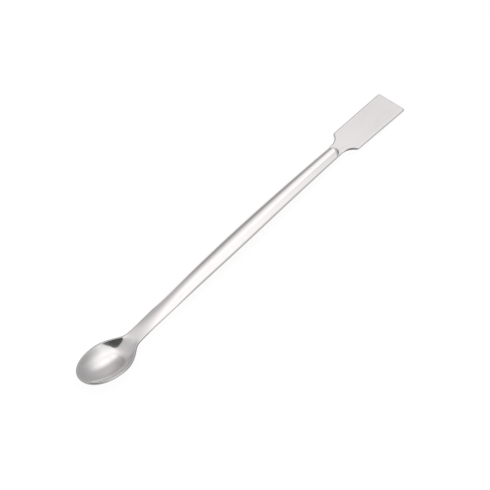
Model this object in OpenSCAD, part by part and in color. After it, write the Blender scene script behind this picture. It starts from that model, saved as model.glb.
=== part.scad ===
// Double-ended lab spatula: a spoon bowl, an arched channel handle and a flat blade,
// pressed in one piece from stainless steel sheet with rounded edges.
// X runs along the length, from the spoon's tip to the blade's end, Y across it and Z up.
// The spatula lies as it comes to rest, on the bowl's underside and the blade's end.
// The origin is on the table, under the middle of the box that holds the part.

/* [Sheet] */
// Length over all, from the bowl's tip to the blade's end
overall_l = 150; // [130:1:200]
// Thickness of the steel sheet, whose edges are fully rounded
sheet_t = 1; // [0.8:0.05:1.3]

/* [Spoon bowl] */
// Outside width of the bowl at its widest place
bowl_w = 15; // [12:0.5:18]
// Distance from the tip to the bowl's widest place
nose_l = 11.8; // [9:0.1:14]
// Distance from the widest place to where the bowl's back runs out into the neck
back_l = 11.8; // [9:0.1:14]
// Fullness of the nose's outline, where 2 is an ellipse
nose_power = 2.15; // [2:0.05:2.6]
// Fullness of the back's outline
back_power = 2.15; // [1.9:0.05:2.8]
// Length scale of the fillet between the bowl's back and the neck
neck_blend = 1.7; // [0.6:0.1:2.2]
// Depth of the dish below its rim
bowl_d = 2.3; // [1.4:0.1:3.6]
// Distance from the tip to the dish's deepest place
deep_x = 15.8; // [12:0.1:17]
// Distance from the deepest place to where the dish has run out in the neck
dish_back_l = 8.8; // [8:0.1:13]
// Fullness of the dish's floor towards the tip, where 2 is a parabola
dish_power = 2.8; // [2:0.1:3.2]
// Angle by which the rim rises towards the tip, against the blade's plane
bowl_lift = 4.2; // [0:0.2:12]
// Distance from the tip to the bend between the rim and the handle
bend_x = 18.6; // [17:0.2:24]

/* [Handle] */
// Outside width of the handle in its middle
handle_mid_w = 6.6; // [6:0.1:9]
// Outside width of the handle at its two necks
handle_end_w = 5.2; // [4.6:0.1:6]
// How soft the change of taper is in the handle's middle, where 0 is a corner
handle_ease = 0.2; // [0.1:0.05:1]
// Height of the arch across the handle's middle
crown_mid_h = 2; // [1.2:0.1:2.4]
// Height of the arch at the blade's neck
crown_end_h = 1.5; // [0.8:0.1:1.8]
// Distance over which the arch grows out of the spoon's neck
crown_run_l = 22; // [14:1:40]
// Radius of the handle's lengthwise bow
bow_r = 1080; // [600:20:3000]
// Angle between the handle and the blade's plane at the blade's neck
handle_rise = -0.8; // [-1.5:0.1:2]
// Radius of the round end of the arch at the blade's neck, seen from above
dome_r = 3.1; // [2.8:0.1:4]
// Length of the slope in which that round end comes down to the flat blade
dome_slope_l = 2.4; // [2.2:0.1:4]

/* [Blade] */
// Width of the blade at its end
blade_w = 11.5; // [9:0.1:14]
// Width of the blade at its shoulders
blade_root_w = 11.1; // [9:0.1:14]
// Length of the blade from its shoulders to its end
blade_l = 23.2; // [15:0.2:40]
// Radius of the hollow fillets between the neck and the shoulders
shoulder_r = 4.6; // [3.4:0.1:7]
// Radius of the blade's two end corners
corner_r = 0.8; // [0.7:0.1:2]

/* [Hidden] */

steel = [0.80, 0.79, 0.79];

// Counts of stations along each stretch, and of cells across the sheet and round its edge
nose_n = 13;
back_n = 17;
handle_n = 24;
dome_n = 11;
shoulder_n = 14;
blade_n = 3;
corner_n = 2;
across_n = 12;
edge_n = 4;

// The outline below is the middle line of the sheet's round edge, one edge radius inside
edge_r = sheet_t / 2;
tip_angle = 1.5;
bend_blend = 0.5;
shoulder_blend = 0.3;
rise_blend = 2;
step = 0.02;

bowl_half = bowl_w / 2 - edge_r;
mid_half = handle_mid_w / 2 - edge_r;
end_half = handle_end_w / 2 - edge_r;
root_half = blade_root_w / 2 - edge_r;
blade_half = blade_w / 2 - edge_r;
fillet_r = shoulder_r + edge_r;
fillet_rise = root_half - end_half;
corner_in_r = corner_r - edge_r;

bowl_l = nose_l + back_l;
shoulder_x = overall_l - blade_l;
neck_x = shoulder_x - sqrt(pow(fillet_r, 2) - pow(fillet_r - min(fillet_rise, fillet_r), 2));
corner_x = overall_l - corner_r;
dome_x = neck_x;
handle_mid_x = (bowl_l + neck_x) / 2;
handle_half_l = (neck_x - bowl_l) / 2;

function soft_max(a, b, k) = (a + b + sqrt(pow(a - b, 2) + k * k)) / 2;
function soft_min(a, b, k) = -soft_max(-a, -b, k);
function clamp(v, low, high) = min(max(v, low), high);
function ramp(u) = let (c = clamp(u, 0, 1)) c * c * (3 - 2 * c);
function unit(v) = v / norm(v);

// Half width of the outline at x: nose, back and neck, handle, fillets and blade
function handle_half(x) =
    let (u = clamp((x - handle_mid_x) / handle_half_l, -1, 1),
         share = (norm([u, handle_ease]) - handle_ease) / (norm([1, handle_ease]) - handle_ease))
    mid_half - (mid_half - end_half) * share;

function nose_half(x) =
    let (u = clamp((nose_l - x) / (nose_l - edge_r), 0, 1))
    bowl_half * pow(1 - pow(u, nose_power), 1 / nose_power);

function back_half(x) =
    let (top = bowl_half - pow(neck_blend, 2) / (4 * (bowl_half - end_half)))
    soft_max(top * (1 - pow((x - nose_l) / back_l, back_power)), handle_half(x), neck_blend);

function fillet_half(x) =
    let (run = clamp(x - neck_x, 0, fillet_r)) handle_half(x) + fillet_r - sqrt(pow(fillet_r, 2) - run * run);

function blade_side(x) =
    let (u = (x - shoulder_x) / blade_l, run = clamp(x - corner_x, 0, corner_in_r))
    root_half + (blade_half - root_half) * u - corner_in_r + sqrt(pow(corner_in_r, 2) - run * run);

function half(x) =
    x < nose_l ? nose_half(x)
    : x < handle_mid_x ? back_half(x)
    : soft_min(fillet_half(x), blade_side(x), shoulder_blend);

// Height of the sheet's edge above the blade's plane: rim, bend, bowed handle and blade
function handle_line(x) =
    let (run = max(neck_x - x, 0))
    tan(handle_rise) * (soft_max(neck_x - x, 0, rise_blend)) - run * run / (2 * bow_r);

function rim_line(x) = handle_line(bend_x) + tan(bowl_lift) * (bend_x - x);

function edge_line(x) =
    x < handle_mid_x ? soft_max(rim_line(x), handle_line(x), bend_blend) : handle_line(x);

// Depth of the dish along the middle line, and the arch's height there
function dish_depth(x) =
    x < deep_x ? bowl_d * (1 - pow((deep_x - x) / (deep_x - edge_r), dish_power))
    : bowl_d * pow(cos(90 * clamp((x - deep_x) / dish_back_l, 0, 1)), 2);

function crown_height(x) =
    let (u = (x - handle_mid_x) / handle_half_l)
    (crown_mid_h - (crown_mid_h - crown_end_h) * u * u) * ramp((x - bowl_l + 2) / crown_run_l);

// The arch is part of a circle across the sheet, and ends in a round slope at the blade
function crown(x, y) =
    let (h = crown_height(x), w = half(x), s = min(abs(y), w))
    h < 0.001 ? 0
    : let (r = (w * w + h * h) / (2 * h),
           foot_x = dome_x - dome_r + sqrt(pow(dome_r, 2) - min(s * s, dome_r * dome_r)))
      (h - s * s / (r + sqrt(r * r - s * s))) * ramp((foot_x - x) / dome_slope_l);

function dish(x, y) = let (w = max(half(x), step)) dish_depth(x) * (1 - pow(min(abs(y) / w, 1), 2));

function middle(x, y) = edge_line(x) + crown(x, y) - dish(x, y);

// Line of the table, which touches the blade's end and the bowl from below
table_slope = max([for (x = [deep_x - 8 : 0.25 : deep_x + 6]) -middle(x, 0) / (overall_l - edge_r - x)]);

function table_line(x) = -edge_r - table_slope * (overall_l - edge_r - x);

function sheet_point(x, y) = [x - overall_l / 2, y, middle(x, y) - table_line(x)];

function slope_x(x, y) =
    let (c = clamp(x, edge_r + 2 * step, overall_l - edge_r - step))
    (sheet_point(c + step, y)[2] - sheet_point(c - step, y)[2]) / (2 * step);

function slope_y(x, y) =
    let (w = half(x), c = clamp(y, -w + step, w - step))
    (sheet_point(x, c + step)[2] - sheet_point(x, c - step)[2]) / (2 * step);

function normal(x, y) = unit([-slope_x(x, y), -slope_y(x, y), 1]);

// Stations along the length, closest together where the outline or the sheet turns
function even(from, to, n) = [for (i = [1 : n]) from + (to - from) * i / n];

stations = concat(
    [for (i = [0 : nose_n - 1])
        let (a = tip_angle + (90 - tip_angle) * i / (nose_n - 1))
        nose_l - (nose_l - edge_r) * pow(cos(a), 2 / nose_power)],
    even(nose_l, bowl_l + 4, back_n),
    even(bowl_l + 4, dome_x - dome_r - dome_slope_l, handle_n),
    even(dome_x - dome_r - dome_slope_l, neck_x, dome_n),
    even(neck_x, shoulder_x + 1.2, shoulder_n),
    even(shoulder_x + 1.2, corner_x, blade_n),
    [for (i = [1 : corner_n]) corner_x + corner_in_r * sin(tip_angle + (90 - 2 * tip_angle) * i / corner_n)]);
last = len(stations) - 1;

function across(i, j) = [stations[i], half(stations[i]) * (2 * j / across_n - 1)];

// Once round the outline, counter-clockwise: tip, one side, blade end, other side
rim_cells = concat(
    [for (j = [across_n : -1 : 0]) [0, j]],
    [for (i = [1 : last]) [i, 0]],
    [for (j = [1 : across_n]) [last, j]],
    [for (i = [last - 1 : -1 : 1]) [i, across_n]]);
rim_n = len(rim_cells);

function rim_place(k) = let (c = rim_cells[(k + rim_n) % rim_n]) across(c[0], c[1]);

// Direction out of the sheet's edge, square to the outline and along the sheet
function rim_out(k) =
    let (run = unit(rim_place(k + 1) - rim_place(k - 1)), p = rim_place(k), out = [run[1], -run[0]])
    unit([out[0], out[1], out[0] * slope_x(p[0], p[1]) + out[1] * slope_y(p[0], p[1])]);

function face_point(i, j, side) =
    let (p = across(i, j)) sheet_point(p[0], p[1]) + side * edge_r * normal(p[0], p[1]);

function rim_point(k, m) =
    let (p = rim_place(k), a = 90 - 180 * m / edge_n)
    sheet_point(p[0], p[1]) + edge_r * (cos(a) * rim_out(k) + sin(a) * normal(p[0], p[1]));

// Two triangles for each cell, with the diagonal turned so that both sides mirror each other
function cell(a, b, c, d, turned) = turned ? [[a, b, d], [b, c, d]] : [[a, b, c], [a, c, d]];
function flat(lists) = [for (l = lists) each l];

module spatula() {
    row = across_n + 1;
    face_count = (last + 1) * row;
    points = concat(
        [for (i = [0 : last], j = [0 : across_n]) face_point(i, j, 1)],
        [for (i = [0 : last], j = [0 : across_n]) face_point(i, j, -1)],
        [for (k = [0 : rim_n - 1], m = [1 : edge_n - 1]) rim_point(k, m)]);

    function face_id(i, j, under) = i * row + j + (under ? face_count : 0);
    function rim_id(k, m) =
        let (n = k % rim_n, c = rim_cells[n])
        m == 0 ? face_id(c[0], c[1], false)
        : m == edge_n ? face_id(c[0], c[1], true)
        : 2 * face_count + n * (edge_n - 1) + m - 1;

    upper = flat([for (i = [0 : last - 1], j = [0 : across_n - 1])
        cell(face_id(i, j, false), face_id(i, j + 1, false), face_id(i + 1, j + 1, false),
             face_id(i + 1, j, false), j < across_n / 2)]);
    lower = flat([for (i = [0 : last - 1], j = [0 : across_n - 1])
        cell(face_id(i, j, true), face_id(i + 1, j, true), face_id(i + 1, j + 1, true),
             face_id(i, j + 1, true), j < across_n / 2)]);
    rim = flat([for (k = [0 : rim_n - 1], m = [0 : edge_n - 1])
        cell(rim_id(k, m), rim_id(k + 1, m), rim_id(k + 1, m + 1), rim_id(k, m + 1), false)]);

    color(steel) polyhedron(points = points, faces = concat(upper, lower, rim), convexity = 6);
}

spatula();
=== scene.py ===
# Double-ended lab spatula, pressed in one piece from stainless steel sheet: a spoon bowl, an
# arched handle and a flat blade. It lies on a table, on the bowl's underside and the blade's end.
import math
import bpy
from mathutils import Matrix, Vector


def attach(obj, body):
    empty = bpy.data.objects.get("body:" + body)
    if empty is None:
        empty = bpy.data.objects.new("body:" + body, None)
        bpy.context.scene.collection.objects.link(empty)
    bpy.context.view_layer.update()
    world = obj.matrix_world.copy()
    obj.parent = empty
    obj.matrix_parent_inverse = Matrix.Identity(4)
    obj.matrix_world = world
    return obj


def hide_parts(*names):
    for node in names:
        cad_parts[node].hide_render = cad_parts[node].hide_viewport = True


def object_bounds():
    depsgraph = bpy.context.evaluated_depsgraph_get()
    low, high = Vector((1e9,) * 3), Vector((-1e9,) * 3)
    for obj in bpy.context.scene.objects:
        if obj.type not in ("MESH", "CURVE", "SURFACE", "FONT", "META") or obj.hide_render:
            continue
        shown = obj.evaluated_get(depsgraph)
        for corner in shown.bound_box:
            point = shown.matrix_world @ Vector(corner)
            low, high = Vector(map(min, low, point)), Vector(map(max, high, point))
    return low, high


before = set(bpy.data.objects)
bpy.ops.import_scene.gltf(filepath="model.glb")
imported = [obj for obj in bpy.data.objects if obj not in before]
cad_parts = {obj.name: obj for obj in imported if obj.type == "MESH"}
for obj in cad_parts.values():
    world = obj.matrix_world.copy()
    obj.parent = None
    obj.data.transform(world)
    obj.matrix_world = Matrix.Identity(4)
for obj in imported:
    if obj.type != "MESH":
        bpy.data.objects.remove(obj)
cad_low, cad_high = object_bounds()
scene = bpy.context.scene

# ---------------------------------------------------------------------------------------------
# The spatula's steel body. One blank is cut from 1 mm sheet, dished at one end for the spoon,
# arched along the handle for stiffness and left flat at the blade, and its edges are rounded.
# It is made as one sheet surface, given its thickness on both sides and a round rim.
# ---------------------------------------------------------------------------------------------
MM = 0.001

# Sizes of the pressing. The length and the bowl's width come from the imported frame, lengths are in
# millimetres and turns in radians, a fullness is the power of a curve, and the ease is a share.
# The dish and the arch are a hair lower than the solid's, so that the fine mesh stays in its box.
body_sizes = {
    "Length over all": (cad_high[0] - cad_low[0]) / MM,
    "Sheet thickness": 1.0,
    "Bowl width": (cad_high[1] - cad_low[1]) / MM,
    "Bowl nose length": 11.8,
    "Bowl back length": 11.8,
    "Nose fullness": 2.15,
    "Back fullness": 2.15,
    "Neck fillet": 1.7,
    "Dish depth": 2.29,
    "Dish deepest place": 15.8,
    "Dish back length": 8.8,
    "Dish floor fullness": 2.8,
    "Rim lift": math.radians(4.2),
    "Bend place": 18.6,
    "Handle width": 6.6,
    "Handle end width": 5.2,
    "Handle taper ease": 0.2,
    "Arch height": 1.998,
    "Arch end height": 1.5,
    "Arch run-out": 34.0,
    "Handle bow radius": 1080.0,
    "Handle rise": math.radians(-0.8),
    "Arch end radius": 2.5,
    "Arch end slope": 1.6,
    "Blade width": 11.5,
    "Blade root width": 11.1,
    "Blade length": 23.2,
    "Shoulder fillet": 4.6,
    "Blade corner": 0.8,
}

# Cells along each stretch of the length, across the sheet, and round half of its edge
NOSE_CELLS = 46
BACK_CELLS = 64
HANDLE_CELLS = 130
ARCH_END_CELLS = 56
FILLET_CELLS = 48
BLADE_CELLS = 40
CORNER_CELLS = 6
ACROSS_CELLS = 48
EDGE_CELLS = 12

# In millimetres, how softly the forms of the pressing run into each other, and how far the arch
# starts within the bowl's length
SHOULDER_BLEND = 0.3
RISE_BLEND = 2.0
BEND_BLEND = 0.5
DISH_BLEND = 5.0
ARCH_START = 2.0
# How far past the bowl and past the shoulders the fine cells go on
NECK_RUN = 4.0
SHOULDER_RUN = 1.2
# The least arch that counts as one, which keeps its radius finite
SKIN = 0.001
# The turn round the tip at which the rows start, and the outermost columns' turn across the sheet
TIP_ANGLE = math.radians(1.5)
ACROSS_ANGLE = math.radians(78)
# The stretch of the bowl that can touch the table: how far its middle lies towards the neck from
# the dish's deepest place, less than 0 being towards the tip, and how far it reaches both ways
REST_MIDDLE = -1.0
REST_REACH = 7.0
# The share of the half width from which the sheet counts as edge, and the distance in metres
# within which points are welded
EDGE_BORDER = 0.88
WELD = 2e-7


class Wire:
    """A node's output socket. Arithmetic on wires adds the Math nodes that work it out."""

    def __init__(self, socket):
        self.socket = socket

    def maths(self, operation, *others):
        values = dict(enumerate((self,) + others))
        return add(self.socket.id_data, "ShaderNodeMath", {"operation": operation}, values)

    def __add__(self, other):
        return self.maths("ADD", other)

    __radd__ = __add__

    def __sub__(self, other):
        return self.maths("SUBTRACT", other)

    def __rsub__(self, other):
        return self.maths("MULTIPLY_ADD", -1.0, other)

    def __mul__(self, other):
        return self.maths("MULTIPLY", other)

    __rmul__ = __mul__

    def __truediv__(self, other):
        return self.maths("DIVIDE", other)

    def __rtruediv__(self, other):
        return self.maths("POWER", -1.0) * other

    def __pow__(self, other):
        return self.maths("POWER", other)

    def __lt__(self, other):
        return self.maths("LESS_THAN", other)

    def __gt__(self, other):
        return self.maths("GREATER_THAN", other)


def add(tree, kind, settings=None, inputs=None, output=0):
    """Add a node, with its settings set first, and give back the wire of one of its outputs."""
    node = tree.nodes.new(kind)
    for name, value in (settings or {}).items():
        setattr(node, name, value)
    for key, value in (inputs or {}).items():
        if isinstance(value, Wire):
            tree.links.new(value.socket, node.inputs[key])
        else:
            node.inputs[key].default_value = value
    return None if output is None else Wire(node.outputs[output])


def least(a, b):
    return a.maths("MINIMUM", b)


def most(a, b):
    return a.maths("MAXIMUM", b)


def between(a, low, high):
    return least(most(a, low), high)


def root(a):
    return a.maths("SQRT")


def choose(test, yes, no):
    """The one value where the test is 1 and the other where it is 0."""
    return test * (yes - no) + no


def blend_max(a, b, reach):
    """The larger of two, with a round passage of this reach where they cross."""
    return (a + b + root((a - b) ** 2 + reach * reach)) / 2


def blend_min(a, b, reach):
    """The smaller of two, with a round passage of this reach where they cross."""
    return (a + b - root((a - b) ** 2 + reach * reach)) / 2


def smooth(a):
    """An eased slope from 0 to 1."""
    u = between(a, 0.0, 1.0)
    return u * u * (3 - u * 2)


def ramp(value, start, end):
    """0 up to start and 1 from end on, with an eased slope between them."""
    return smooth((value - start) / (end - start))


body_tree = bpy.data.node_groups.new("Spatula body", "GeometryNodeTree")
for name in body_sizes:
    body_tree.interface.new_socket(name, in_out="INPUT", socket_type="NodeSocketFloat")
body_tree.interface.new_socket("Finish", in_out="INPUT", socket_type="NodeSocketMaterial")
body_tree.interface.new_socket("Body", in_out="OUTPUT", socket_type="NodeSocketGeometry")
body_inputs = body_tree.nodes.new("NodeGroupInput")
size = {name: Wire(body_inputs.outputs[name]) for name in body_sizes}


def body_node(kind, settings=None, inputs=None, output=0):
    return add(body_tree, kind, settings, inputs, output)


# Sizes that follow from the ones above. The outline is the middle line of the round edge.
edge_r = size["Sheet thickness"] / 2
length = size["Length over all"]
nose_l = size["Bowl nose length"]
back_l = size["Bowl back length"]
bowl_half = size["Bowl width"] / 2 - edge_r
mid_half = size["Handle width"] / 2 - edge_r
end_half = size["Handle end width"] / 2 - edge_r
root_half = size["Blade root width"] / 2 - edge_r
blade_half = size["Blade width"] / 2 - edge_r
fillet_r = size["Shoulder fillet"] + edge_r
corner_r = size["Blade corner"] - edge_r
bowl_l = nose_l + back_l
shoulder_x = length - size["Blade length"]
neck_x = shoulder_x - root(fillet_r ** 2 - (fillet_r - least(root_half - end_half, fillet_r)) ** 2)
corner_x = length - size["Blade corner"]
arch_end_r = size["Arch end radius"]
handle_mid = (bowl_l + neck_x) / 2
handle_half_l = (neck_x - bowl_l) / 2
neck_blend = size["Neck fillet"]

# The sheet is a grid whose rows are stations along the length and whose columns run across
stretch_cells = [BACK_CELLS, HANDLE_CELLS, ARCH_END_CELLS, FILLET_CELLS, BLADE_CELLS]
grid_rows = NOSE_CELLS + sum(stretch_cells) + CORNER_CELLS + 1
grid_columns = ACROSS_CELLS + 1

grid_index = body_node("GeometryNodeInputIndex")
row = ((grid_index + 0.5) / grid_columns).maths("FLOOR")
column = grid_index - row * grid_columns

nose_angle = between(row / NOSE_CELLS, 0.0, 1.0) * (math.pi / 2 - TIP_ANGLE) + TIP_ANGLE
nose_cos = most(nose_angle.maths("COSINE"), 0.0)
station = nose_l - (nose_l - edge_r) * nose_cos ** (2 / size["Nose fullness"])
first_row = NOSE_CELLS
arch_end_x = neck_x - arch_end_r - size["Arch end slope"]
stretch_ends = [nose_l, bowl_l + NECK_RUN, arch_end_x, neck_x, shoulder_x + SHOULDER_RUN, corner_x]
for start, end, cells in zip(stretch_ends, stretch_ends[1:], stretch_cells):
    station = station + between((row - first_row) / cells, 0.0, 1.0) * (end - start)
    first_row += cells
corner_turn = between((row - first_row) / CORNER_CELLS, 0.0, 1.0) * (math.pi / 2 - TIP_ANGLE)
x = station + corner_r * corner_turn.maths("SINE")

# Half width of the outline: nose, back and neck, handle, hollow fillets and blade
taper = between((x - handle_mid) / handle_half_l, -1.0, 1.0)
ease = size["Handle taper ease"]
ease_share = (root(taper ** 2 + ease * ease) - ease) / (root(ease * ease + 1) - ease)
handle_half = mid_half - (mid_half - end_half) * ease_share
nose_u = between((nose_l - x) / (nose_l - edge_r), 0.0, 1.0)
nose_half = bowl_half * (1 - nose_u ** size["Nose fullness"]) ** (1 / size["Nose fullness"])
back_top = bowl_half - neck_blend * neck_blend / (4 * (bowl_half - end_half))
back_u = most((x - nose_l) / back_l, 0.0)
back_half = blend_max(back_top * (1 - back_u ** size["Back fullness"]), handle_half, neck_blend)
fillet_run = between(x - neck_x, 0.0, fillet_r)
fillet_half = handle_half + fillet_r - root(fillet_r ** 2 - fillet_run ** 2)
blade_u = (x - shoulder_x) / size["Blade length"]
corner_run = between(x - corner_x, 0.0, corner_r)
side_half = (root_half + (blade_half - root_half) * blade_u
             - corner_r + root(most(corner_r ** 2 - corner_run ** 2, 0.0)))
blade_side = blend_min(fillet_half, side_half, SHOULDER_BLEND)
half = choose(x < nose_l, nose_half, choose(x < handle_mid, back_half, blade_side))

# Height of the sheet's edge above the blade's plane: rim, bend, bowed handle and blade
rise = size["Handle rise"].maths("TANGENT")
lift = size["Rim lift"].maths("TANGENT")
bow_r = size["Handle bow radius"]


def handle_line(place):
    run = most(neck_x - place, 0.0)
    return rise * blend_max(neck_x - place, 0.0, RISE_BLEND) - run * run / (2 * bow_r)


rim_line = handle_line(size["Bend place"]) + lift * (size["Bend place"] - x)
edge_line = choose(x < handle_mid, blend_max(rim_line, handle_line(x), BEND_BLEND), handle_line(x))

# The dish is a parabola across the bowl, and the arch is part of a circle across the handle
across_angle = (column * (2.0 / ACROSS_CELLS) - 1) * ACROSS_ANGLE
y_share = across_angle.maths("SINE") / math.sin(ACROSS_ANGLE)
y = y_share * half
deep_x = size["Dish deepest place"]
dish_to_tip = 1 - between((deep_x - x) / (deep_x - edge_r), 0.0, 1.0) ** size["Dish floor fullness"]
dish_back_u = between((x - deep_x) / size["Dish back length"], -1.0, 1.0)
dish_to_neck = (dish_back_u * (math.pi / 2)).maths("COSINE") ** 2
dish_along = choose(smooth((x - deep_x) / DISH_BLEND + 0.5), dish_to_neck, dish_to_tip)
dish = size["Dish depth"] * dish_along * (1 - y_share ** 2)

arch_u = (x - handle_mid) / handle_half_l
arch_grown = smooth((x - bowl_l + ARCH_START) / size["Arch run-out"])
arch_tall = size["Arch height"] - (size["Arch height"] - size["Arch end height"]) * arch_u ** 2
arch_h = most(arch_tall * arch_grown, SKIN)
arch_r = (half ** 2 + arch_h ** 2) / (2 * arch_h)
arch_cap = arch_h - y ** 2 / (arch_r + root(most(arch_r ** 2 - y ** 2, 0.0)))
arch_foot = neck_x - arch_end_r + root(arch_end_r ** 2 - least(y ** 2, arch_end_r ** 2))
arch = arch_cap * smooth((arch_foot - x) / size["Arch end slope"]) * (arch_tall * arch_grown > SKIN)
height = edge_line + arch - dish

# It is laid down, so that the blade's end and the bowl's underside touch the table
sheet_flat = body_node("GeometryNodeMeshGrid", inputs={
    "Vertices X": grid_rows, "Vertices Y": grid_columns})
steepness = -1 * height / (length - edge_r - x)
in_bowl = (x - REST_MIDDLE - deep_x).maths("ABSOLUTE") < REST_REACH
table_slope = body_node("GeometryNodeAttributeStatistic", {"data_type": "FLOAT", "domain": "POINT"},
                        {"Geometry": sheet_flat, "Selection": in_bowl, 2: steepness}, "Max")
resting = height + edge_r + table_slope * (length - edge_r - x)
sheet_place = body_node("ShaderNodeCombineXYZ", inputs={
    0: (x - length / 2) * MM + (cad_low[0] + cad_high[0]) / 2, 1: y * MM, 2: resting * MM})
sheet_bare = body_node("GeometryNodeSetPosition", inputs={
    "Geometry": sheet_flat, "Position": sheet_place})
near_edge = ramp(y_share.maths("ABSOLUTE"), EDGE_BORDER, 1.0)
sheet = body_node("GeometryNodeStoreNamedAttribute", {"data_type": "FLOAT", "domain": "POINT"},
                  {"Geometry": sheet_bare, "Name": "edge", "Value": near_edge})
sheet_normal = body_node("GeometryNodeInputNormal")


def scaled(vector, factor):
    return body_node("ShaderNodeVectorMath", {"operation": "SCALE"}, {0: vector, "Scale": factor})


def summed(first, second):
    return body_node("ShaderNodeVectorMath", {"operation": "ADD"}, {0: first, 1: second})


upper_face = body_node("GeometryNodeSetPosition", inputs={
    "Geometry": sheet, "Offset": scaled(sheet_normal, edge_r * MM)})
lower_side = body_node("GeometryNodeSetPosition", inputs={
    "Geometry": sheet, "Offset": scaled(sheet_normal, edge_r * -MM)})
lower_face = body_node("GeometryNodeFlipFaces", inputs={"Mesh": lower_side})

# The round edge runs once round the outline: tip, one side, blade end and the other side
last_row = grid_rows - 1
rim_cells = 2 * ACROSS_CELLS + 2 * last_row
rim_index = body_node("GeometryNodeInputIndex")
rim_row = ((rim_index + 0.5) / (EDGE_CELLS + 1)).maths("FLOOR")
rim_turn = (rim_index - rim_row * (EDGE_CELLS + 1)) * (math.pi / EDGE_CELLS) - math.pi / 2


def on_rim(field, step):
    """Read a field of the sheet at the outline's point that lies some steps further round."""
    place = (rim_row + (rim_cells + step)).maths("FLOORED_MODULO", rim_cells)
    round_tip = between(place, 0.0, ACROSS_CELLS)
    to_blade = between(place - ACROSS_CELLS, 0.0, last_row)
    round_end = between(place - (ACROSS_CELLS + last_row), 0.0, ACROSS_CELLS)
    to_tip = between(place - (2 * ACROSS_CELLS + last_row), 0.0, last_row)
    point = (to_blade - to_tip) * grid_columns + (ACROSS_CELLS - round_tip + round_end)
    return body_node("GeometryNodeSampleIndex", {"data_type": "FLOAT_VECTOR", "domain": "POINT"},
                     {"Geometry": sheet, "Value": field, "Index": point})


sheet_position = body_node("GeometryNodeInputPosition")
rim_normal = on_rim(sheet_normal, 0)
rim_run = body_node("ShaderNodeVectorMath", {"operation": "SUBTRACT"},
                    {0: on_rim(sheet_position, 1), 1: on_rim(sheet_position, -1)})
rim_side = body_node("ShaderNodeVectorMath", {"operation": "CROSS_PRODUCT"},
                     {0: rim_run, 1: rim_normal})
rim_out = body_node("ShaderNodeVectorMath", {"operation": "NORMALIZE"}, {0: rim_side})
rim_reach = summed(scaled(rim_out, rim_turn.maths("COSINE") * edge_r * MM),
                   scaled(rim_normal, rim_turn.maths("SINE") * edge_r * MM))
rim_flat = body_node("GeometryNodeMeshGrid", inputs={
    "Vertices X": rim_cells + 1, "Vertices Y": EDGE_CELLS + 1})
rim_bare = body_node("GeometryNodeSetPosition", inputs={
    "Geometry": rim_flat, "Position": summed(on_rim(sheet_position, 0), rim_reach)})
rim = body_node("GeometryNodeStoreNamedAttribute", {"data_type": "FLOAT", "domain": "POINT"},
                {"Geometry": rim_bare, "Name": "edge", "Value": 1.0})

joined = body_tree.nodes.new("GeometryNodeJoinGeometry")
for part in (rim, lower_face, upper_face):
    body_tree.links.new(part.socket, joined.inputs[0])
welded = body_node("GeometryNodeMergeByDistance", inputs={
    "Geometry": Wire(joined.outputs[0]), "Distance": WELD})
shaded = body_node("GeometryNodeSetShadeSmooth", inputs={"Geometry": welded, "Shade Smooth": True})
solid = body_node("GeometryNodeRealizeInstances", inputs={"Geometry": shaded})
finished = body_node("GeometryNodeSetMaterial", inputs={
    "Geometry": solid, "Material": Wire(body_inputs.outputs["Finish"])})
body_tree.links.new(finished.socket, body_tree.nodes.new("NodeGroupOutput").inputs[0])

steel = bpy.data.materials.new("Stainless steel")
steel.use_nodes = True
blank = bpy.data.objects.new("blank", bpy.data.meshes.new("blank"))
scene.collection.objects.link(blank)
pressing = blank.modifiers.new("Pressing", "NODES")
pressing.node_group = body_tree
for item in body_tree.interface.items_tree:
    if item.name in body_sizes:
        pressing[item.identifier] = body_sizes[item.name]
    elif item.name == "Finish":
        pressing[item.identifier] = steel
pressed = blank.evaluated_get(bpy.context.evaluated_depsgraph_get())
body = bpy.data.objects.new("steel_body", bpy.data.meshes.new_from_object(pressed))
scene.collection.objects.link(body)
bpy.data.objects.remove(blank)
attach(body, "root")
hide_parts("spatula")

# ---------------------------------------------------------------------------------------------
# Finish of the steel. The spoon and the handle are mopped to a polish along their length, and
# the blade is left satin by its lengthwise grinding. The round edge is darker, partly as its
# unpolished steel and partly as painted shade, with more painted shade on its downward half and
# the most in the hollow corners. The dish's wall and the arch's foot are given painted shade too.
# ---------------------------------------------------------------------------------------------
# Polish and its warmer clouds, satin towards the blade's end and at its root, a duller grey for
# smudges, scratches and the dish wall, where it is painted shade, the edge's unpolished colour,
# which also serves as painted shade, and the near-black painted shade in the edge's hollow corners
STEEL = (0.880, 0.857, 0.858, 1.0)
STEEL_WARM = (0.898, 0.862, 0.853, 1.0)
STEEL_SATIN = (0.916, 0.882, 0.886, 1.0)
STEEL_SATIN_ROOT = (0.985, 0.950, 0.957, 1.0)
STEEL_DULL_AND_SHADE = (0.62, 0.604, 0.606, 1.0)
STEEL_EDGE_AND_SHADE = (0.42, 0.415, 0.41, 1.0)
STEEL_CORNER_SHADE = (0.12, 0.118, 0.116, 1.0)

# How strongly each of those shows at its most; for the dish wall, the edge, the arch's foot and
# the hollow corners this is how strong their painted shade is
DISH_WALL_SHADE_SHARE = 0.74
SMUDGE_SHARE = 0.04
SCRATCH_SHARE = 0.1
EDGE_SHARE = 0.36
BOWL_EDGE_ADDS = 0.16
FOOT_SHADE_SHARE = 0.95
CORNER_SHADE_SHARE = 0.75

# Start and end of each soft change. In millimetres from the spoon's tip: the dish gives way to the
# handle, and the painted shade in the hollow corner beside the bowl comes and goes
DISH_END = (19.0, 25.0)
NECK_CORNER = ((16.5, 21.0), (25.0, 32.0))
# In millimetres from the handle's end: the painted shade in the hollow corner at the blade's
# shoulder comes and goes
SHOULDER_CORNER = ((0.0, 2.0), (3.5, 5.0))
# In millimetres from the arch's round end: the satin sets in, and its lighter root fades out
SATIN_START = (-0.5, 0.5)
SATIN_ROOT_END = (0.0, 22.0)
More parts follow.
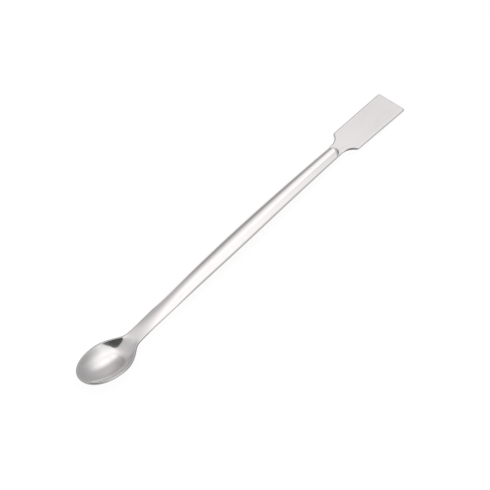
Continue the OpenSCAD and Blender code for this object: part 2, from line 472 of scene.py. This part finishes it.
# In millimetres: the painted shade line at the arch's foot lies this far back, and it fades out to
# both sides of itself and towards the handle's edges
FOOT_LINE_BACK = 0.4
FOOT_LINE_SIDES = (0.25, 0.60)
FOOT_LINE_ENDS = (2.3, 2.9)
# In shares: from the dish's middle to its rim, from the sheet's face to its edge, of the upward
# part of a face's direction, and of the noise that makes clouds and smudges
DULL_RING = (0.45, 0.95)
EDGE_ROUNDING = (0.90, 1.0)
TURNED_UP = (0.45, 0.78)
CLOUDS = (0.35, 0.68)
SMUDGES = (0.48, 0.70)
# Fine scratches in three directions: their length and width, their turn in degrees, a seed, and
# the height of the noise from which they show, to full over the softness. The last value is how
# much each finer layer of all this noise counts.
SCRATCHES = (
    (6.0, 0.035, 14.0, 21.0, 0.74),
    (4.0, 0.03, -31.0, 33.0, 0.76),
    (3.0, 0.03, 68.0, 47.0, 0.77),
)
SCRATCH_SOFTNESS = 0.06
FINE_NOISE_SHARE = 0.55

# Roughness of the polish and the satin, and what the other marks add to it or take off
POLISH_ROUGHNESS = 0.10
SATIN_ROUGHNESS = 0.30
DULL_ADDS = 0.05
GRAIN_ADDS = 0.05
SATIN_GRAIN_ADDS = 0.12
SMUDGE_ADDS = 0.03
SCRATCH_ADDS = 0.12
SATIN_EDGE_TAKES = 0.12
ROUGHNESS_LIMITS = (0.06, 0.6)

# Height of the grain on polish, what satin adds, the broad grain and the depth of scratches, as
# shares of the relief's height in millimetres
GRAIN_RELIEF = 0.12
SATIN_GRAIN_RELIEF = 0.5
BROAD_RELIEF = 0.25
SCRATCH_RELIEF = 0.6
RELIEF_HEIGHT = 0.004
RELIEF_STRENGTH = 0.25

steel_tree = steel.node_tree
shader = steel_tree.nodes["Principled BSDF"]
shader.inputs["Metallic"].default_value = 1.0


def finish_node(kind, settings=None, inputs=None, output=0):
    return add(steel_tree, kind, settings, inputs, output)


# Millimetres from the spoon's tip, across the middle line, and up
steel_place = finish_node("ShaderNodeTexCoord", output="Object")
along, across, up_from_table = [
    finish_node("ShaderNodeSeparateXYZ", inputs={0: steel_place}, output=k) * (1 / MM)
    for k in range(3)]
along = along - cad_low[0] / MM


def speckle(long_mm, wide_mm, detail, turn=0.0, seed=0.0):
    """Smooth noise between 0 and 1 whose marks have this length and width, turned in degrees."""
    c, n = math.cos(math.radians(turn)), math.sin(math.radians(turn))
    u = (along * c + across * n) / long_mm
    v = (across * c - along * n) / wide_mm
    spot = finish_node("ShaderNodeCombineXYZ", inputs={0: u, 1: v, 2: up_from_table / wide_mm + seed})
    return finish_node("ShaderNodeTexNoise", {"noise_dimensions": "3D"},
                       {"Vector": spot, "Scale": 1.0, "Detail": detail, "Roughness": FINE_NOISE_SHARE},
                       output="Fac")


def band(value, comes, goes):
    """1 along a stretch that comes and goes with these soft changes, and 0 outside it."""
    return ramp(value, *comes) * (1 - ramp(value, *goes))


# The satin sets in at the round end of the arch, which reaches back to the sides of the handle
sheet_edge = body_sizes["Sheet thickness"] / 2
shoulder_step = body_sizes["Blade root width"] / 2 - body_sizes["Handle end width"] / 2
fillet = body_sizes["Shoulder fillet"] + sheet_edge
handle_end = (body_sizes["Length over all"] - body_sizes["Blade length"]
              - math.sqrt(fillet ** 2 - (fillet - min(shoulder_step, fillet)) ** 2))
round_end_r = body_sizes["Arch end radius"]
arch_end = handle_end - round_end_r + root(most(round_end_r ** 2 - across ** 2, 0.0))
satin = ramp(along - arch_end, *SATIN_START)

# The mop lies flat on the dish's floor and leaves its wall a little duller all round, and the
# wall's colour is darkened there as painted shade
dish_reach = (
    ((along - body_sizes["Bowl nose length"])
     / (body_sizes["Bowl nose length"] - body_sizes["Sheet thickness"])) ** 2
    + (across / (body_sizes["Bowl width"] / 2 - body_sizes["Sheet thickness"])) ** 2)
in_dish = 1 - ramp(along, *DISH_END)
dull_and_wall_shade = ramp(root(dish_reach), *DULL_RING) * in_dish

grain = speckle(long_mm=9.0, wide_mm=0.05, detail=3.0) - 0.5
broad_grain = speckle(long_mm=30.0, wide_mm=0.35, detail=2.0, seed=7.0) - 0.5
smudge = ramp(speckle(long_mm=5.0, wide_mm=3.0, detail=3.0, turn=25.0, seed=3.0), *SMUDGES)
cloud = ramp(speckle(long_mm=7.0, wide_mm=4.0, detail=2.0, seed=11.0), *CLOUDS)
shallow, slanting, steep = [
    ramp(speckle(long_mm, wide_mm, 1.0, turn, seed), shows, shows + SCRATCH_SOFTNESS)
    for long_mm, wide_mm, turn, seed, shows in SCRATCHES]
scratches = most(most(shallow, slanting), steep)

# The edge is darker all round, partly as its unpolished steel and partly as painted shade, with
# more painted shade on its downward-facing half and the most on that half in the outline's hollow
# corners
edge = finish_node("ShaderNodeAttribute", {"attribute_name": "edge"}, output="Fac")
facing = finish_node("ShaderNodeNewGeometry", output="Normal")
facing_up = finish_node("ShaderNodeSeparateXYZ", inputs={0: facing}, output=2)
rolled = ramp(edge, *EDGE_ROUNDING) * (EDGE_SHARE + BOWL_EDGE_ADDS * in_dish)
sheared_and_underside_shade = edge * (1 - ramp(facing_up, *TURNED_UP))
hollow_corner_shade = band(along, *NECK_CORNER) + band(along - handle_end, *SHOULDER_CORNER)

# A dark line of painted shade lies in the foot of the arch's end, and the satin colour is kept
# out of it
foot_line_shade = 1 - ramp((along - arch_end + FOOT_LINE_BACK).maths("ABSOLUTE"), *FOOT_LINE_SIDES)
foot_line_shade = foot_line_shade * (1 - ramp(across.maths("ABSOLUTE"), *FOOT_LINE_ENDS))
clean_satin = satin * (1 - foot_line_shade)
satin_root = clean_satin * (1 - ramp(along - arch_end, *SATIN_ROOT_END))


def tinted(share, first, second):
    return finish_node("ShaderNodeMix", {"data_type": "RGBA"}, {0: share, 6: first, 7: second}, 2)


colour = tinted(cloud, STEEL, STEEL_WARM)
colour = tinted(clean_satin, colour, STEEL_SATIN)
colour = tinted(satin_root, colour, STEEL_SATIN_ROOT)
dulled_and_shaded = dull_and_wall_shade * DISH_WALL_SHADE_SHARE + smudge * SMUDGE_SHARE + scratches * SCRATCH_SHARE
# The dish wall's part of this darkening is painted shade; smudges and scratches are wear
colour = tinted(dulled_and_shaded, colour, STEEL_DULL_AND_SHADE)
# Painted shade: the edge all round, more on its downward half, and the line at the arch's foot
colour = tinted(most(most(sheared_and_underside_shade, rolled), foot_line_shade * FOOT_SHADE_SHARE), colour, STEEL_EDGE_AND_SHADE)
# Painted shade: near black on the edge's downward half in the hollow corners
colour = tinted(sheared_and_underside_shade * hollow_corner_shade * CORNER_SHADE_SHARE, colour, STEEL_CORNER_SHADE)
steel_tree.links.new(colour.socket, shader.inputs["Base Color"])

roughness = POLISH_ROUGHNESS + satin * (SATIN_ROUGHNESS - POLISH_ROUGHNESS) + dull_and_wall_shade * DULL_ADDS
roughness = roughness + grain * (GRAIN_ADDS + satin * SATIN_GRAIN_ADDS)
roughness = roughness + smudge * SMUDGE_ADDS + scratches * SCRATCH_ADDS
roughness = between(roughness - edge * satin * SATIN_EDGE_TAKES, *ROUGHNESS_LIMITS)
steel_tree.links.new(roughness.socket, shader.inputs["Roughness"])

relief = grain * (GRAIN_RELIEF + satin * SATIN_GRAIN_RELIEF)
relief = relief + broad_grain * BROAD_RELIEF - scratches * SCRATCH_RELIEF
fine_relief = finish_node("ShaderNodeBump", output="Normal", inputs={
    "Strength": RELIEF_STRENGTH, "Distance": RELIEF_HEIGHT * MM, "Height": relief})
steel_tree.links.new(fine_relief.socket, shader.inputs["Normal"])

# ---------------------------------------------------------------------------------------------
# Camera: a long lens from above the near side, a little rolled. It aims at the middle of the
# length on the table, which lies a little beside the middle of the picture.
# ---------------------------------------------------------------------------------------------
CAMERA_DISTANCE = 1.2
CAMERA_AZIMUTH = math.radians(-40.352)
CAMERA_ELEVATION = math.radians(50.91)
CAMERA_ROLL = math.radians(-9.607)
NEAREST_SEEN = 0.05
SENSOR = 36.0
# The picture's side and the middle's place right of and below the centre, in pixels
PICTURE = 490
PIXELS_PER_MM = 3.0792
MIDDLE_RIGHT = -3.26
MIDDLE_DOWN = -2.05

level_reach = math.cos(CAMERA_ELEVATION)
back = Vector((math.sin(CAMERA_AZIMUTH) * level_reach, -math.cos(CAMERA_AZIMUTH) * level_reach,
               math.sin(CAMERA_ELEVATION)))
level_right = Vector((math.cos(CAMERA_AZIMUTH), math.sin(CAMERA_AZIMUTH), 0))
level_up = back.cross(level_right)
right = level_right * math.cos(CAMERA_ROLL) + level_up * math.sin(CAMERA_ROLL)
up = level_up * math.cos(CAMERA_ROLL) - level_right * math.sin(CAMERA_ROLL)
lens = bpy.data.cameras.new("camera")
lens.sensor_width = SENSOR
lens.lens = PIXELS_PER_MM / MM * CAMERA_DISTANCE * SENSOR / PICTURE
lens.shift_x = -MIDDLE_RIGHT / PICTURE
lens.shift_y = MIDDLE_DOWN / PICTURE
lens.clip_start = NEAREST_SEEN
camera = bpy.data.objects.new("camera", lens)
aim = Matrix((right, up, back)).transposed().to_4x4()
camera.matrix_world = Matrix.Translation(back * CAMERA_DISTANCE) @ aim
scene.collection.objects.link(camera)
scene.camera = camera

# ---------------------------------------------------------------------------------------------
# Table: a large sheet of white card. It shows nearly plain white to the camera and in the steel,
# and keeps enough of its own shade to take the spatula's faint shadow.
# ---------------------------------------------------------------------------------------------
TABLE_REACH = 3.0
TABLE_WHITE = (0.9, 0.9, 0.9, 1.0)
# How much of what is seen of the card is plain white, and how bright that white is
GLOW_SHARE = 0.70
GLOW_STRENGTH = 1.20
corners = [(-TABLE_REACH, -TABLE_REACH, 0), (TABLE_REACH, -TABLE_REACH, 0),
           (TABLE_REACH, TABLE_REACH, 0), (-TABLE_REACH, TABLE_REACH, 0)]
table_mesh = bpy.data.meshes.new("table")
table_mesh.from_pydata(corners, [], [(0, 1, 2, 3)])
table = bpy.data.objects.new("table", table_mesh)
scene.collection.objects.link(table)
table_finish = bpy.data.materials.new("White table")
table_finish.use_nodes = True
table_tree = table_finish.node_tree
table_tree.nodes.clear()
card = add(table_tree, "ShaderNodeBsdfDiffuse", inputs={"Color": TABLE_WHITE})
glow = add(table_tree, "ShaderNodeEmission", inputs={"Strength": GLOW_STRENGTH})
# Rays from the camera, in the steel and through glass see the glow
to_camera, in_steel, through_glass = [
    add(table_tree, "ShaderNodeLightPath", output=kind)
    for kind in ("Is Camera Ray", "Is Glossy Ray", "Is Transmission Ray")]
seen = most(most(to_camera, in_steel), through_glass)
shown = add(table_tree, "ShaderNodeMixShader", inputs={0: seen * GLOW_SHARE, 1: card, 2: glow})
add(table_tree, "ShaderNodeOutputMaterial", inputs={"Surface": shown}, output=None)
table_mesh.materials.append(table_finish)

# ---------------------------------------------------------------------------------------------
# Light tent: white cloth walls all round. A long lamp bank behind the cloth runs from the front
# to overhead on the right side, with one lamp head at its back end. The camera looks in through
# a dark opening, which the spoon mirrors.
# ---------------------------------------------------------------------------------------------
CLOTH_WHITE = (1.0, 1.0, 1.0, 1.0)
# Light of the walls, and what they lose at the back and on the right and gain on the left. The
# loss at the back is full in a strip right of the middle, and small left of it.
CLOTH = 0.56
CLOTH_BACK_DIM = 0.20
BACK_DIM_LEFT_SHARE = 0.15
CLOTH_RIGHT_DIM = 0.06
CLOTH_LEFT_LIFT = 0.12
# Light that the bank adds, and how much less of it there is at the front
BANK_STRENGTH = 0.64
BANK_FRONT_DIM = 0.07

# Start and end of soft changes in the sideways part of a direction, from left to right. The bank
# loses some of its right side towards the front.
LEFT_LIFT_ENDS = (-0.05, 0.25)
BACK_STRIP_LEFT = (0.24, 0.42)
BACK_STRIP_RIGHT = (0.44, 0.62)
RIGHT_DIM_STARTS = (0.55, 0.85)
BANK_LEFT = (-0.25, 0.25)
BANK_RIGHT = (0.60, 0.90)
BANK_FRONT_NARROWER = 0.22
# Start and end of soft changes in degrees from overhead towards the back
BACK_DIM_STARTS = (32, 64)
BANK_BACK = (-14, 55)
BANK_FRONT = (-25, -5)
BANK_WIDENS = (-35, 5)
HORIZON = 0.001

# Round patches by tilt from overhead, compass angle, even half width and soft edge in degrees.
# The opening has two that overlap, and the lamp head is soft from its middle.
LAMP_HEAD = (46, 28, 0, 18)
LAMP_HEAD_STRENGTH = 0.38
OPENING = (32.8, -126, 21.0, 3.5)
OPENING_SIDE = (36.0, -88, 8.0, 3.5)
OPENING_DEPTH = 0.86

tent = bpy.data.worlds.new("Light tent")
scene.world = tent
tent.use_nodes = True
cloth = tent.node_tree
cloth.nodes.clear()
toward = add(cloth, "ShaderNodeTexCoord", output="Generated")
toward_x, toward_y, toward_z = [
    add(cloth, "ShaderNodeSeparateXYZ", inputs={0: toward}, output=k) for k in range(3)]
behind = toward_y.maths("ARCTAN2", most(toward_z, HORIZON)) * math.degrees(1)


def patch(tilt, turn, even, soft):
    """A round patch of the tent, 1 inside its even half width and 0 past its soft edge."""
    tilt, turn = math.radians(tilt), math.radians(turn)
    middle = (math.sin(tilt) * math.cos(turn), math.sin(tilt) * math.sin(turn), math.cos(tilt))
    cosine = add(cloth, "ShaderNodeVectorMath", {"operation": "DOT_PRODUCT"},
                 {0: toward, 1: middle}, "Value")
    angle = between(cosine, -1.0, 1.0).maths("ARCCOSINE") * math.degrees(1)
    return 1 - ramp(angle, even, even + soft)


back_strip = BACK_DIM_LEFT_SHARE + (1 - BACK_DIM_LEFT_SHARE) * ramp(toward_x, *BACK_STRIP_LEFT)
back_dim = CLOTH_BACK_DIM * back_strip * (1 - ramp(toward_x, *BACK_STRIP_RIGHT))
walls = CLOTH - ramp(behind, *BACK_DIM_STARTS) * back_dim
walls = walls - CLOTH_RIGHT_DIM * ramp(toward_x, *RIGHT_DIM_STARTS)
walls = walls + CLOTH_LEFT_LIFT * (1 - ramp(toward_x, *LEFT_LIFT_ENDS))

bank_side = toward_x + BANK_FRONT_NARROWER * (1 - ramp(behind, *BANK_WIDENS))
bank = ramp(toward_x, *BANK_LEFT) * (1 - ramp(bank_side, *BANK_RIGHT)) * (1 - ramp(behind, *BANK_BACK))
bank = bank * (BANK_STRENGTH - BANK_FRONT_DIM + ramp(behind, *BANK_FRONT) * BANK_FRONT_DIM)

opening = most(patch(*OPENING), patch(*OPENING_SIDE))
light = (walls + bank + patch(*LAMP_HEAD) * LAMP_HEAD_STRENGTH) * (1 - opening * OPENING_DEPTH)
camera_ray = add(cloth, "ShaderNodeLightPath", output="Is Camera Ray")
lit = add(cloth, "ShaderNodeBackground", inputs={
    "Color": CLOTH_WHITE, "Strength": choose(camera_ray, 1.0, light)})
add(cloth, "ShaderNodeOutputWorld", inputs={"Surface": lit}, output=None)

scene.view_settings.view_transform = "Standard"
